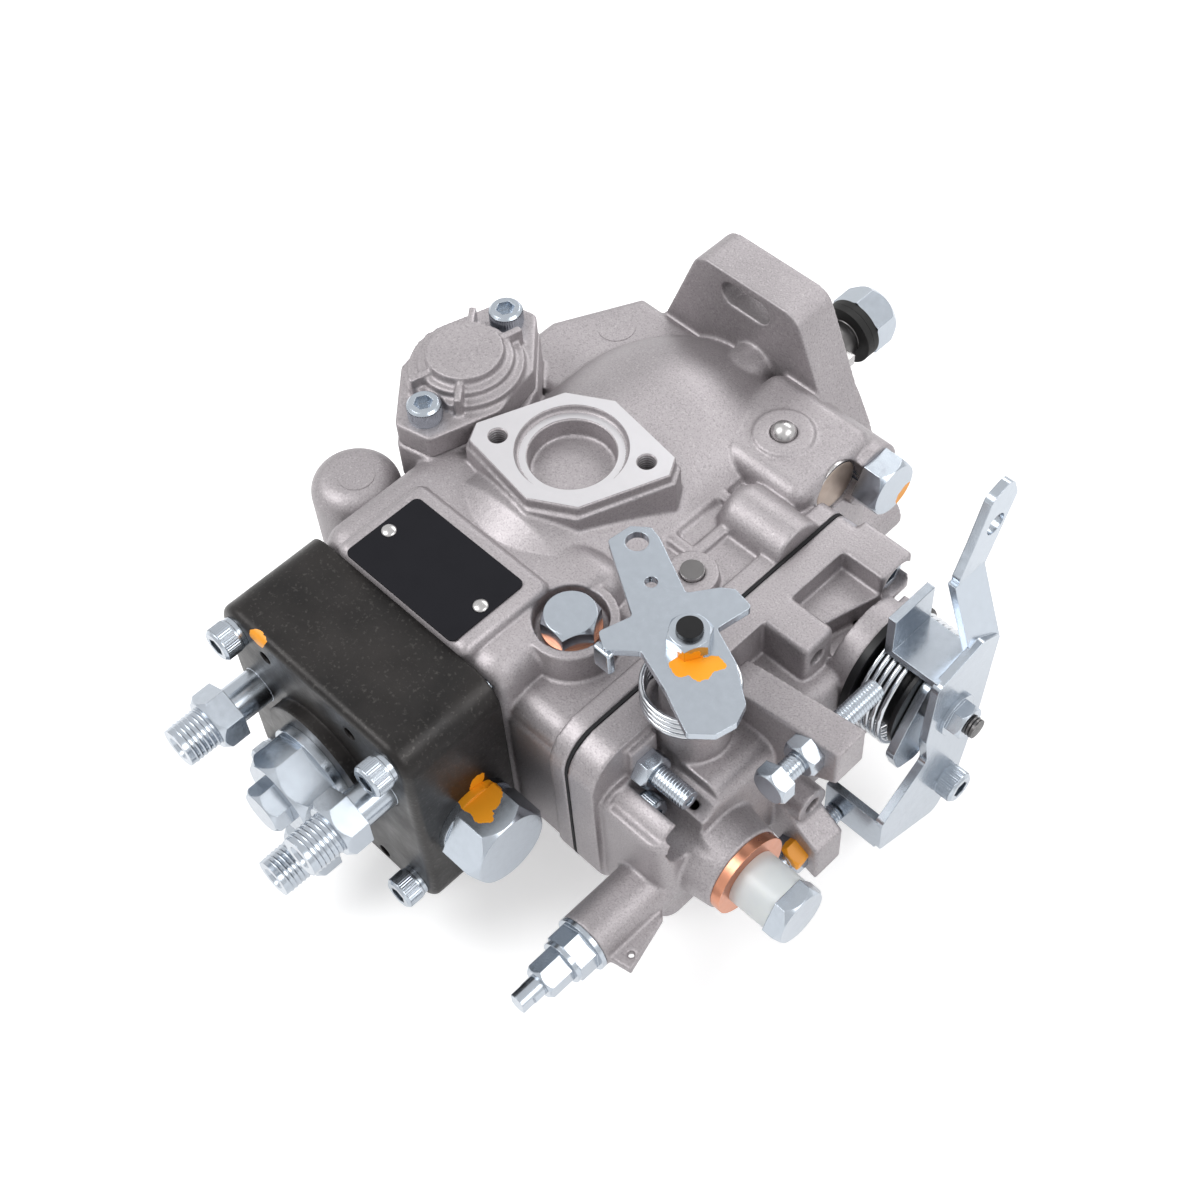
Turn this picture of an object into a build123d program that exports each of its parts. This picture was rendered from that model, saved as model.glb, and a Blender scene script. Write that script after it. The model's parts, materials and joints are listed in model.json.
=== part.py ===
from build123d import *
import os
from math import cos, sin, radians, sqrt

# Rotary diesel injection pump, three outlets, mechanical governor, lying on its side.
# The drive axis is Y and the drive end is +Y. +X is up on the engine, +Z is up as it lies.
# The origin is on the drive axis, in the face of the mounting flange. Sizes in millimetres.

# Fits and clearances
running = 0.04
slide_fit = 0.05
loose = 0.3

# Drive flange
flange_thick = 15.0
flange_r = 41.5
pilot_r = 34.0
pilot_depth = 6.0
slot_pitch_r = 51.0
slot_w = 8.6
slot_len = 19.0
ear_tip = 58.5
ear_tip_half = 19.5
ear_root = 14.0
ear_root_half = 37.5
side_ear_tip = 57.0
side_ear_half = 13.5
ear_count = 3

# Drive shaft and its end
shaft_r = 10.0
taper_r = 8.5
taper_start = 11.0
taper_end = 32.0
taper_end_r = 6.4
thread_r = 6.0
thread_end = 51.0
key_w = 4.0
key_r = 8.0
key_y = 21.0
spring_washer_r = 10.4
spring_washer_t = 2.6
nut_af = 19.0
nut_y = 39.0
nut_h = 10.0
seal_r = 15.0
seal_len = 7.0
bush_r = 13.0
bush_end = -27.0

# Vane supply pump
pump_r = 30.0
pump_y1 = -28.0
pump_len = 15.0
rotor_r = 21.0
ring_bore_r = 24.0
ring_offset = 2.6
plate_t = 4.0

# Gears and governor
drive_gear_r = 31.0
gov_gear_r = 19.0
tooth = 1.6
gear_t = 7.0
gear_y = -57.0
gov_x = drive_gear_r + gov_gear_r
gov_z = 0.0
gov_shaft_r = 5.0
gov_shaft_end = -108.0
carrier_r = 23.0
carrier_len = 20.0
chamber_r = 25.6
sleeve_r = 9.0
sleeve_end = -113.5
weight_count = 4
window_in = 7.0

# Cam box
cam_box_r = 33.5
barrel_r = 43.5
claw_r = 14.5
claw_y = -74.0
disc_y = -80.0
disc_t = 4.0
roller_ring_y = -78.0
roller_ring_in = 19.0
roller_ring_t = 16.0
roller_r = 6.0
roller_y = -90.5
roller_count = 3
roller_in = 21.0
roller_out = cam_box_r - 2.5
cam_y = -99.0
cam_r = cam_box_r - 2.5
cam_t = 8.0
lobe_r = 8.0
plunger_r = 5.0
plunger_end = -178.0
foot_r = 8.0
control_ring_r = 11.0
control_ring_y = -125.0
control_ring_t = 11.0
plunger_spring_z = 17.0

# Distributor head
joint_y = -153.5
head_w = 39.3
head_front = -187.0
head_corner = 9.0
spigot_r = 31.5
spigot_end = -130.0
barrel_in_r = 11.0
ring_boss_r = 21.0
ring_boss_t = 4.0
screw_pitch = head_w - 7.8
outlet_pitch_r = 30.0
outlet_tip = -217.5
outlet_barrel_r = 6.2
outlet_neck_r = 5.8
outlet_hex = 16.0
outlet_hex_gap = 11.0
outlet_hex_t = 8.0
outlet_thread_r = 6.0
outlet_bore_r = 2.2
outlet_angles = (167.0, 28.6, -86.0)
plug_hex = 24.0
plug_out = -206.0
bleed_out = -212.0
bleed_hex = 13.0
shut_y = -169.0
shut_z = -8.0
shut_out = 55.0
shut_hex = 24.0

# Timing device across the cam box
timing_x = -45.0
timing_y = -86.0
timing_r = 11.2
timing_face = 39.0
timing_cover_t = 8.0
timing_disc_top = 55.0
timing_disc_r = 11.5
timing_screw_gap = 42.6
timing_turn = 76.7
piston_len = 38.0
pin_r = 4.0

# Octagonal pad and nameplate
pad_x = 0.35
pad_y = -87.4
pad_z = 48.2
pad_turn = 30.0
pad_half_len = 29.6
pad_end_half = 3.2
pad_half_w = 20.4
pad_side_half = 7.5
pad_screw_gap = 43.7
pad_tier = 3.6
pad_step = 1.4
pad_ring_r = 16.2
pad_well_r = 12.7
plate_x = -0.5
plate_y = -139.8
plate_z = 42.2
plate_len = 44.4
plate_w = 27.0
plate_thick = 0.5

# Governor box and cover
part_x = 61.0
box_top = 30.0
box_low = -34.0
box_drive = -40.0
box_tail = -152.0
box_corner = 12.0
rim = 6.0
wall = 5.0
gasket_t = 1.0
cover_rim = 71.5
cover_top = 95.0
pivot_x = 36.4
pivot_y = -123.8
collar_r = 13.5
collar_z = 38.0
pivot_seat_z = 33.0
pivot_low = -36.0
boss_y = -59.0
boss_z = 27.0
boss_r = 9.5
pin_x = 46.6
pin_y = -87.0
pin_boss_r = 7.6
dowel_r = 3.5
core_plug_at = (-32.8, 25.8)
core_plug_x = 51.0
core_plug_r = 8.8
core_plug_t = 1.2

# Return union on the cover
return_y = -129.3
return_z = -9.0
return_base = 105.0
return_r = 13.4
copper_t = 1.5
union_r = 8.6
union_end = 121.0
union_hex = 17.0

# Full-load screw on the cover
load_x = 86.5
load_z = -16.0
load_boss_end = -172.3
load_inner = -139.5
load_boss_r = 8.7
load_nut_t = 6.0
load_collar_t = 1.4
load_cap_af = 9.6
load_cap_len = 8.5
load_nub_r = 3.2
load_tip = -197.5
load_r = 4.0
load_rib_t = 2.6

# Control lever shaft
control_y = -60.0
control_z = 8.0
control_r = 6.0
control_flange = 88.0
control_boss_r = 18.5
control_inner = 76.0
control_thread_r = 3.0
control_end = 128.5
lever_x = 118.0
lever_t = 2.6
spool_x = 95.5
spool_disc_t = 2.4
spool_disc_r = 20.0
spool_drum_r = 14.0
spool_end = 112.0
spool_end_r = 17.0
driver_t = 2.8
coil_r = 18.4
coil_wire = 0.8
coil_gap = 0.4

# Stop arms on the cover
arm_y = -100.0
arm_t = 11.0
arm_end = 116.0
idle_x = 106.6
idle_z = 27.0
max_x = 104.0
max_z = -31.0

# Stop lever
stop_x = 74.8
stop_y = -117.2
stop_plate_z = 55.5
stop_plate_t = 2.5
stop_shaft_r = 4.5
stop_post_r = 8.6
stop_post_z = 49.0
stop_coil_r = 13.0

# Screws
m6_head_r = 5.0
m6_head_h = 6.0
m6_r = 3.0
m6_socket = 5.0
m6_nut_af = 10.0
m6_nut_h = 5.0
screw_seat = 77.5
cover_thread = 7.0
column_r = 7.8
column_top = 92.0
pocket_r = 6.4
stud_y = -134.5
stud_z = 17.5
stud_seat = 74.0
stud_end = 90.5


def station(axis, at, start):
    """Plane across an axis; its own normal runs along that axis."""
    if axis == "x":
        return Plane(origin=(start, at[0], at[1]), x_dir=(0, 1, 0), z_dir=(1, 0, 0))
    if axis == "y":
        return Plane(origin=(at[0], start, at[1]), x_dir=(0, 0, 1), z_dir=(0, 1, 0))
    return Plane(origin=(at[0], at[1], start), x_dir=(1, 0, 0), z_dir=(0, 0, 1))


def rod(axis, at, start, end, r):
    """Round bar from one station to another."""
    low, high = min(start, end), max(start, end)
    bar = Cylinder(r, high - low, align=(Align.CENTER, Align.CENTER, Align.MIN))
    return station(axis, at, low) * bar


def cone(axis, at, start, end, r_start, r_end):
    """Tapered round bar; start must be the lower station."""
    bar = Cone(r_start, r_end, end - start, align=(Align.CENTER, Align.CENTER, Align.MIN))
    return station(axis, at, start) * bar


def tube(axis, at, start, end, r_out, r_in):
    """Round sleeve with a through bore."""
    low, high = min(start, end), max(start, end)
    return rod(axis, at, low, high, r_out) - rod(axis, at, low - 1, high + 1, r_in)


def hexbar(axis, at, start, end, across):
    """Hexagonal bar."""
    low, high = min(start, end), max(start, end)
    face = station(axis, at, low) * RegularPolygon(across / 2, 6, major_radius=False)
    return extrude(face, amount=high - low)


def hex_head(axis, at, base, tip, across):
    """Hexagon with its corners turned off at the free end; base is the seat."""
    corner_r = across / sqrt(3)
    edge = across * 0.12
    low, high = min(base, tip), max(base, tip)
    if tip > base:
        turned = rod(axis, at, low, high - edge, corner_r)
        turned += cone(axis, at, high - edge, high, corner_r, across / 2 - 0.2)
    else:
        turned = rod(axis, at, low + edge, high, corner_r)
        turned += cone(axis, at, low, low + edge, across / 2 - 0.2, corner_r)
    return hexbar(axis, at, low, high, across) & turned


def cap_screw(axis, at, seat, tip, shank):
    """Socket-head M6 screw: head from seat to tip, shank end given as a station."""
    way = 1 if tip > seat else -1
    head = rod(axis, at, seat, tip - way * 0.7, m6_head_r)
    if way > 0:
        head += cone(axis, at, tip - 0.7, tip, m6_head_r, m6_head_r - 0.7)
    else:
        head += cone(axis, at, tip, tip + 0.7, m6_head_r - 0.7, m6_head_r)
    head -= hexbar(axis, at, tip - way * 3.2, tip + way, m6_socket)
    return head + rod(axis, at, seat, shank, m6_r)


def nut(axis, at, seat, tip, across, bore):
    """Hexagon nut with a plain bore for its thread."""
    return hex_head(axis, at, seat, tip, across) - rod(axis, at, min(seat, tip) - 1, max(seat, tip) + 1, bore)


def block(x0, x1, y0, y1, z0, z1, r=0.0):
    """Box between two corners, with all its edges rounded where r is given."""
    solid = Pos((x0 + x1) / 2, (y0 + y1) / 2, (z0 + z1) / 2) * Box(x1 - x0, y1 - y0, z1 - z0)
    if r > 0:
        solid = fillet(solid.edges(), r)
    return solid


def prism(plane, points, height):
    """Straight prism over a closed outline."""
    return extrude(plane * make_face(Polyline(*points, close=True)), amount=height)


def coil(axis, at, start, end, r, wire, turns):
    """Coil spring of square-cornered wire section, wound along an axis."""
    low, high = min(start, end) + wire, max(start, end) - wire
    base = station(axis, at, low)
    path = Helix(pitch=(high - low) / turns, height=high - low, radius=r)
    section = Plane(origin=path @ 0, z_dir=path % 0) * RegularPolygon(wire, 6)
    return base * sweep(section, path=path, is_frenet=True)


def on_circle(r, degrees):
    """X and Z of a point on a circle about the drive axis, from +X towards +Z."""
    return (r * cos(radians(degrees)), r * sin(radians(degrees)))


def ear(degrees, tip, tip_half, root, root_half, corner):
    """One flange ear as a face, pointing away from the axis at an angle from +Z towards +X."""
    outline = make_face(Polyline((root, -root_half), (tip, -tip_half), (tip, tip_half), (root, root_half),
                                 close=True))
    tips = outline.vertices().group_by(Axis.X)[-1]
    return Rot(0, 0, degrees) * fillet(tips, corner)


def flange():
    """Mounting flange: three ears on a disc, each with a slot for turning the pump."""
    face = Circle(flange_r)
    face += ear(0, ear_tip, ear_tip_half, ear_root, ear_root_half, 7)
    for degrees in (120, 240):
        face += ear(degrees, side_ear_tip, side_ear_half, ear_root, side_ear_half + 12, 8)
    plate = extrude(station("y", (0, 0), -flange_thick) * face, amount=flange_thick)
    for k in range(ear_count):
        slot = Pos(slot_pitch_r, 0) * Rot(0, 0, 90) * SlotOverall(slot_len, slot_w)
        slot = station("y", (0, 0), -flange_thick - 1) * Rot(0, 0, k * 360 / ear_count) * slot
        plate -= extrude(slot, amount=flange_thick + 2)
    return plate + rod("y", (0, 0), 0, pilot_depth, pilot_r)


def cam_barrel():
    """Round barrel over the cam box, drawn in to the flange in a dome."""
    dome = [(0, -5), (29.5, -5), (29.5, -flange_thick)]
    with BuildPart() as barrel:
        with BuildSketch(Plane.XY):
            with BuildLine():
                Polyline(*dome)
                ThreePointArc(dome[-1], (38.0, -27.0), (barrel_r, -48.0))
                Polyline((barrel_r, -48.0), (barrel_r, -112.0), (38.0, -122.0), (0, -122.0), (0, -5))
            make_face()
        revolve(axis=Axis.Y)
    return barrel.part


def timing_outline(grow):
    """Long six-sided outline of the timing covers, grown by a margin."""
    half = timing_screw_gap / 2 + 7.0 + grow
    wide = 17.5 + grow
    points = [(half, -6), (half, 6), (9, wide), (-9, wide), (-half, 6), (-half, -6), (-9, -wide), (9, -wide)]
    face = make_face(Polyline(*points, close=True))
    return fillet(face.vertices(), 2.5)


def timing_plane(z):
    """Plane of a timing cover, with its x along the line of the two screws."""
    turn = radians(-timing_turn)
    return Plane(origin=(timing_x, timing_y, z), x_dir=(cos(turn), sin(turn), 0), z_dir=(0, 0, 1))


def timing_screw_places():
    """X and Y of the two screws of a timing cover."""
    turn = radians(-timing_turn)
    half = timing_screw_gap / 2
    return [(timing_x + s * half * cos(turn), timing_y + s * half * sin(turn)) for s in (-1, 1)]


def pad_plane(z):
    """Plane of the octagonal pad, with its x along the line of its two holes."""
    turn = radians(pad_turn)
    return Plane(origin=(pad_x, pad_y, z), x_dir=(cos(turn), sin(turn), 0), z_dir=(0, 0, 1))


def pad_outline(grow):
    """Octagon of the machined pad, grown by a margin."""
    length, width = pad_half_len + grow, pad_half_w + grow
    points = []
    for sx, sy in ((1, 1), (-1, 1), (-1, -1), (1, -1)):
        corner = [(sx * length, sy * pad_end_half), (sx * pad_side_half, sy * width)]
        points += corner if sx * sy > 0 else corner[::-1]
    return make_face(Polyline(*points, close=True))


def pad_hole_places():
    """X and Y of the two tapped holes of the pad."""
    turn = radians(pad_turn)
    half = pad_screw_gap / 2
    return [(pad_x + s * half * cos(turn), pad_y + s * half * sin(turn)) for s in (-1, 1)]


def head_screw_places():
    """X and Z of the four screws of the distributor head."""
    return [(sx * screw_pitch, sz * screw_pitch) for sx in (-1, 1) for sz in (-1, 1)]


def cover_screw_places():
    """Y and Z of the governor cover's three screws, the tail one first."""
    return [(-140.5, 8.0), (-44.8, 22.5), (-44.8, -22.0)]


def box_ring(x0, x1):
    """Prism of the governor box outline between two heights above the drive axis."""
    outline = make_face(Polyline((box_drive, box_low), (box_drive, box_top), (box_tail, box_top),
                                 (box_tail, box_low), close=True))
    ends = outline.vertices().group_by(Axis.X)
    outline = fillet(ends[0], box_corner)
    outline = fillet(outline.vertices().group_by(Axis.X)[-1], 5)
    return extrude(station("x", (0, 0), x0) * outline, amount=x1 - x0)


def housing_outside():
    """Casting of the pump housing before it is bored."""
    cast = flange() + cam_barrel()
    # square tail towards the distributor head
    cast += block(-38, 38, joint_y, -100, -39, 39, 8)
    cast += block(plate_x - 27, plate_x + 27, joint_y, -121, 20, plate_z, 3)
    # shoulder between the timing cylinder and the flange
    shoulder = prism(Plane.XY.offset(-24), [(-57, -64), (-57, -42), (-43, -15), (0, -15), (0, -64)], 50)
    cast += fillet(shoulder.faces().group_by(Axis.Z)[-1].edges(), 4)
    # timing cylinder and its two cover seats
    cast += rod("z", (timing_x, timing_y), -timing_face, timing_face, 19.5)
    for low in (timing_face - 14, -timing_face):
        cast += extrude(timing_plane(low) * timing_outline(0.8), amount=14)
    # round lug at the tail
    lug = rod("z", (-50.5, -128.5), -26, 32, 13.5)
    cast += fillet(lug.faces().sort_by(Axis.Z)[-1].edges(), 7)
    cast += block(-50, -25, -139, -116, -24, 24, 3)
    # octagonal pad in two tiers
    cast += extrude(pad_plane(30) * pad_outline(pad_step), amount=pad_z - pad_tier - 30)
    cast += extrude(pad_plane(pad_z - pad_tier) * pad_outline(0), amount=pad_tier)
    return cast


def governor_box():
    """Upper part of the housing round the governor, with its ribs and bosses."""
    box = box_ring(part_x - rim, part_x)
    box += block(10, part_x - 2, box_tail + 2, box_drive - 3, box_low + 3, 21, 5)
    box += block(26, part_x - 2, -110, box_drive - 3, 0, 28, 2)
    # tail body, rounded towards the head
    box += block(18, part_x - 2, box_tail + 3, -108, box_low + 4, 27, 7)
    box += rod("z", (pivot_x, pivot_y), 0, collar_z, collar_r)
    box += rod("z", (pivot_x, pivot_y), pivot_low - 5, -20, collar_r)
    # drive-end shoulder that carries the core plug and the pressure valve
    box += block(14, 53, -51, -15.5, box_low, 36, 5)
    box += rod("x", (-20.0, 22.0), 30, 56, 10.5)
    # horizontal boss up to the parting line, and the ribs round it
    boss = rod("x", (boss_y, boss_z), 36, part_x, boss_r)
    box += fillet(boss.faces().sort_by(Axis.X)[0].edges(), 5)
    for x, far in ((30.5, -44.0), (41.0, -62.0)):
        box += block(x - 2, x + 2, -82, far, 12, 30, 1.2)
    for y, start in ((-80.7, 21.0), (-59.5, 19.0)):
        box += block(start, 42, y - 2, y + 2, 12, 30, 1.2)
    box += rod("z", (pin_x, pin_y), 10, 32, pin_boss_r)
    # small boss on the flange's front and the ball plug's seat
    box += rod("y", (4.5, 29.0), -30, -14, 7.5)
    box += rod("z", (33.8, -35.0), 20, 37.2, 9.0)
    return box


def housing_bores(cast):
    """Machines the housing: shaft, cam box, governor chamber, timing bore, head socket."""
    cast -= rod("y", (0, 0), -seal_len - 1, pilot_depth + 1, seal_r)
    cast -= rod("y", (0, 0), bush_end - 1, 0, bush_r)
    cast -= rod("y", (0, 0), pump_y1 - pump_len - plate_t, pump_y1, pump_r)
    cast -= rod("y", (0, 0), -118, pump_y1 - pump_len - plate_t + 0.01, cam_box_r)
    cast -= rod("y", (0, 0), joint_y - 1, -117, spigot_r + slide_fit)
    # governor chamber opens upwards into the cover
    chamber_y = gear_y + gear_t + 2
    cast -= rod("y", (gov_x, gov_z), -112, chamber_y, chamber_r)
    cast -= block(44, part_x + 1, -112, chamber_y, -chamber_r, box_top - wall)
    cast -= block(4, part_x + 1, box_tail + wall, -100, box_low + wall + 2, box_top - wall - 4)
    cast -= rod("y", (gov_x, gov_z), chamber_y - 1, chamber_y + 12, gov_shaft_r)
    # timing bore and the slot for its pin
    cast -= rod("z", (timing_x, timing_y), -timing_face - 1, timing_face + 1, timing_r + running)
    cast -= block(timing_x, -20, timing_y - pin_r - 1, timing_y + pin_r + 1, -11, 11)
    # pad well and threaded holes
    cast -= extrude(pad_plane(pad_z - 2.2) * Circle(pad_ring_r), amount=3)
    cast -= extrude(pad_plane(pad_z - 9.0) * Circle(pad_well_r), amount=10)
    for place in pad_hole_places():
        cast -= rod("z", place, pad_z - 13, pad_z + 1, 2.6)
    # pivot bolt seats
    cast -= rod("z", (pivot_x, pivot_y), pivot_seat_z, collar_z + 1, 10.6)
    cast -= rod("z", (pivot_x, pivot_y), pivot_low - 6, pivot_low, 10.6)
    cast -= rod("z", (pivot_x, pivot_y), pivot_low - 6, collar_z + 1, 4.0)
    # core plug, valve bore, ball seat, pin hole
    cast -= rod("x", core_plug_at, core_plug_x, 60, core_plug_r)
    cast -= rod("x", (-20.0, 22.0), 34, 57, 4.3)
    cast -= rod("z", (33.8, -35.0), 33.4, 38, 4.0)
    cast -= rod("z", (pin_x, pin_y), 20, 33, dowel_r)
    return cast


def pump_housing():
    """Whole housing casting."""
    cast = housing_outside() + governor_box()
    cast = housing_bores(cast)
    for place in cover_screw_places():
        cast -= rod("x", place, part_x - cover_thread - 1, part_x + 1, m6_r)
    for place in timing_screw_places():
        cast -= rod("z", place, timing_face - 13, timing_face + 1, m6_r)
        cast -= rod("z", place, -timing_face - 1, -timing_face + 13, m6_r)
    for place in head_screw_places():
        cast -= rod("y", place, joint_y - 1, joint_y + 14, m6_r)
    return cast


def timing_cover(side):
    """Cover of the timing bore with its raised disc and two screw lugs; side is 1 for the top."""
    low = timing_face if side > 0 else -timing_face - timing_cover_t
    cover = extrude(timing_plane(low) * timing_outline(0), amount=timing_cover_t)
    near = timing_face * side
    cover += rod("z", (timing_x, timing_y), near, near + side * 10.5, 17.2)
    cover += rod("z", (timing_x, timing_y), near, near + side * 13.0, 14.2)
    for degrees in (-27, 27, 153, 207):
        rib = block(10, 18.6, -1.1, 1.1, near + min(0, side * 14.5), near + max(0, side * 14.5))
        cover += Pos(timing_x, timing_y, 0) * Rot(0, 0, degrees - timing_turn) * rib
    cover += rod("z", (timing_x, timing_y), near, side * timing_disc_top, timing_disc_r)
    for place in timing_screw_places():
        cover -= rod("z", place, near - side, near + side * 20, 3.3)
        cover -= rod("z", place, near + side * timing_cover_t, near + side * 20, 6.2)
    return cover - rod("z", (timing_x, timing_y), near - side, near + side * 9, timing_r - 1)


def distributor_head():
    """Black steel head with its spigot, plug boss, side port and outlet ports."""
    front = block(-head_w, head_w, head_front, joint_y, -head_w, head_w)
    front = fillet(front.edges().filter_by(Axis.Y), head_corner)
    front = fillet(front.faces().sort_by(Axis.Y)[0].edges(), 2.5)
    head = front + rod("y", (0, 0), joint_y, spigot_end, spigot_r)
    head += rod("y", (0, 0), head_front, head_front - ring_boss_t, ring_boss_r)
    head -= rod("y", (0, 0), spigot_end + 1, head_front + 5, barrel_in_r)
    head -= rod("y", (0, 0), head_front + 6, head_front - ring_boss_t - 1, 13.0)
    head -= rod("x", (shut_y, shut_z), head_w - 16, head_w + 1, 9.0)
    for place in head_screw_places():
        head -= rod("y", place, joint_y + 1, head_front - 1, m6_r + 0.3)
    for place in ((15.9, 30.0), (-19.7, 30.0), (16.7, -34.0)):
        head -= rod("y", place, head_front + 4, head_front - 1, 2.2)
    for degrees in outlet_angles:
        place = on_circle(outlet_pitch_r, degrees)
        head -= rod("y", place, head_front + 14, head_front - 1, outlet_thread_r)
        head -= rod("y", place, head_front + 22, head_front + 13, outlet_bore_r)
    return head


def head_screws():
    """Four socket-head screws of the head, each with a spring washer."""
    screws = []
    seat = head_front - 1.6
    for place in head_screw_places():
        screws.append(cap_screw("y", place, seat, seat - m6_head_h, joint_y + 12))
        screws.append(tube("y", place, head_front, seat, m6_head_r - 0.2, m6_r))
    return Compound(screws)


def outlet_holder(degrees):
    """Delivery valve holder: threaded foot, barrel, hexagon, outlet thread with a cone seat."""
    place = on_circle(outlet_pitch_r, degrees)
    body = rod("y", place, head_front + 13, head_front, outlet_thread_r)
    hex_y = head_front - outlet_hex_gap
    body += rod("y", place, head_front, hex_y, outlet_neck_r)
    body += hex_head("y", place, hex_y, hex_y - outlet_hex_t, outlet_hex)
    body += rod("y", place, hex_y - outlet_hex_t, outlet_tip + 1, outlet_barrel_r)
    body -= cone("y", place, outlet_tip - 1, outlet_tip + 4, 4.6, outlet_bore_r)
    body -= rod("y", place, outlet_tip - 1, head_front + 14, outlet_bore_r)
    return body


def cover_top_block():
    """Raised part of the cover with the pockets over its screws."""
    top = block(cover_rim - 4, cover_top, box_tail + 2, box_drive - 4, box_low + 3, 16, 6)
    top -= block(part_x, 90.5, box_tail + 7, box_drive - 9, box_low + 7, 11)
    top -= block(stud_seat, cover_top + 1, box_tail - 1, -127, 12.5, box_top + 1)
    top -= rod("x", (stud_y, stud_z), stud_seat, cover_top + 1, 7.6)
    for place in cover_screw_places():
        top -= rod("x", place, screw_seat, cover_top + 1, pocket_r)
    return top


def governor_cover():
    """Cover casting over the governor, with its posts, arms, pockets and bosses."""
    cover = box_ring(part_x + gasket_t, cover_rim)
    cover -= block(part_x, cover_rim - 3, box_tail + wall, box_drive - wall, box_low + wall, box_top - wall, 3)
    cover -= block(part_x, cover_rim + 1, box_tail + 7, box_drive - 9, box_low + 7, 11)
    cover += cover_top_block()
    # drive-end lugs: block with a tapped hole and a leaning rib
    cover += block(cover_rim - 3, 87, -85, -73, 13, box_top, 2)
    cover += block(cover_rim - 3, 86, -52, -39, 14, box_top, 1)
    lean = [(-52, 86), (-74, 80), (-74, cover_rim - 1), (-52, cover_rim - 1)]
    cover += prism(Plane.XY.offset(14), [(x, y) for y, x in lean], 9)
    # lug of the stud and columns of the three screws
    cover += block(part_x + gasket_t, stud_seat, -139.3, -129.4, 5, box_top - 3)
    for place in cover_screw_places()[:1]:
        cover += rod("x", place, part_x + gasket_t, column_top, column_r)
    for place in cover_screw_places()[1:]:
        cover += rod("x", place, part_x + gasket_t, screw_seat, 5.2)
    # post of the stop lever
    cover += rod("z", (stop_x, stop_y), 11.0, 30.5, 11.0)
    cover += rod("z", (stop_x, stop_y), 11.0, stop_post_z, stop_post_r)
    # bosses of the return union, the full-load screw and the control shaft
    cover += cone("x", (return_y, return_z), 90, return_base, 15.5, return_r)
    cover += rod("y", (load_x, load_z), load_boss_end, load_inner + 1, load_boss_r)
    rib = [(93, -149), (97.5, -153), (102, -170), (95.5, load_boss_end + 1)]
    rib_z = load_z - load_rib_t / 2
    cover += prism(Plane.XY.offset(rib_z), rib, load_rib_t) - rod("z", (98.6, -166.5), rib_z - 1, load_z + 3, 1.0)
    cover += rod("x", (control_y, control_z), control_flange, spool_x, control_boss_r)
    # arms of the two stop screws
    arm = [(74, 12), (74, 24.5), (80, 26.5), (arm_end, 34), (arm_end, 20), (98, 8), (91, 4), (91, 12)]
    cover += prism(station("y", (0, 0), arm_y - arm_t / 2), [(z, x) for x, z in arm], arm_t)
    low_arm = [(86, -28), (arm_end - 4, -39), (arm_end - 4, -24), (92, -10), (86, -10)]
    cover += prism(station("y", (0, 0), arm_y - arm_t / 2), [(z, x) for x, z in low_arm], arm_t)
    cover += rod("x", (-99.0, -14.0), 88, 104, 5.8)
    return cover


def cover_bores(cover):
    """Machines the cover: shaft bores, tapped holes and screw holes."""
    cover -= rod("x", (stud_y, stud_z), part_x, stud_seat + 1, m6_r)
    cover -= rod("x", (stud_y, stud_z), stud_seat, cover_top + 8, 7.2)
    for place in cover_screw_places():
        cover -= rod("x", place, part_x, screw_seat + 1, m6_r + 0.3)
        cover -= rod("x", place, screw_seat, cover_top + 8, pocket_r)
    cover -= rod("y", (gov_x, gov_z), -106, gear_y + gear_t + 2, chamber_r - 1)
    cover -= rod("z", (stop_x, stop_y), -6, stop_post_z + 1, stop_shaft_r + running)
    cover -= rod("x", (return_y, return_z), 80, return_base + 1, 5.0)
    cover -= rod("y", (load_x, load_z), load_boss_end - 1, load_inner, load_r)
    cover -= rod("x", (control_y, control_z), 80, spool_x + 1, control_r + 2)
    cover -= rod("y", (idle_x, idle_z), arm_y - arm_t, arm_y + arm_t, m6_r)
    cover -= rod("y", (max_x, max_z), arm_y - arm_t, arm_y + arm_t, m6_r)
    cover -= rod("x", (-80.0, 23.0), 74, 88, 2.6)
    cover -= rod("x", (-99.0, -14.0), 94, 105, 2.6)
    return cover


def cover_gasket():
    """Flat gasket between the housing and the cover, holed for the screws."""
    sheet = box_ring(part_x, part_x + gasket_t)
    sheet -= block(part_x - 1, part_x + 2, box_tail + wall, box_drive - wall, box_low + wall, box_top - wall)
    for place in cover_screw_places():
        sheet -= rod("x", place, part_x - 1, part_x + 2, m6_r + 0.3)
    return sheet


def adjusting_screw(x, z, tip, head, locknut):
    """M6 adjusting screw along Y with a hexagon at its outer end."""
    screw = rod("y", (x, z), head, tip, m6_r)
    return screw + hex_head("y", (x, z), head, head - m6_nut_h, locknut)


def lock_nuts():
    """Three M6 nuts: two on the stop screws, one on the cover's stud."""
    seat = arm_y - arm_t / 2
    nuts = [nut("y", (x, z), seat, seat - m6_nut_h, m6_nut_af, m6_r)
            for x, z in ((idle_x, idle_z), (max_x, max_z))]
    nuts.append(nut("x", (stud_y, stud_z), stud_seat, stud_seat + m6_nut_h, m6_nut_af, m6_r))
    return Compound(nuts)


def full_load_screw():
    """Full-load screw: threaded shank, six-sided cap and a small nub with two flats."""
    cap = load_boss_end - load_nut_t - 2 * load_collar_t
    screw = rod("y", (load_x, load_z), load_inner - 0.5, cap, load_r)
    screw += hex_head("y", (load_x, load_z), cap, cap - load_cap_len, load_cap_af)
    nub = rod("y", (load_x, load_z), cap - load_cap_len, load_tip, load_nub_r)
    flats = block(load_x - load_nub_r + 0.8, load_x + load_nub_r - 0.8, load_tip - 1, load_tip + 4,
                  load_z - 5, load_z + 5)
    return screw + (nub - rod("y", (load_x, load_z), load_tip - 1, load_tip + 4, 5) + (nub & flats))


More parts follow.
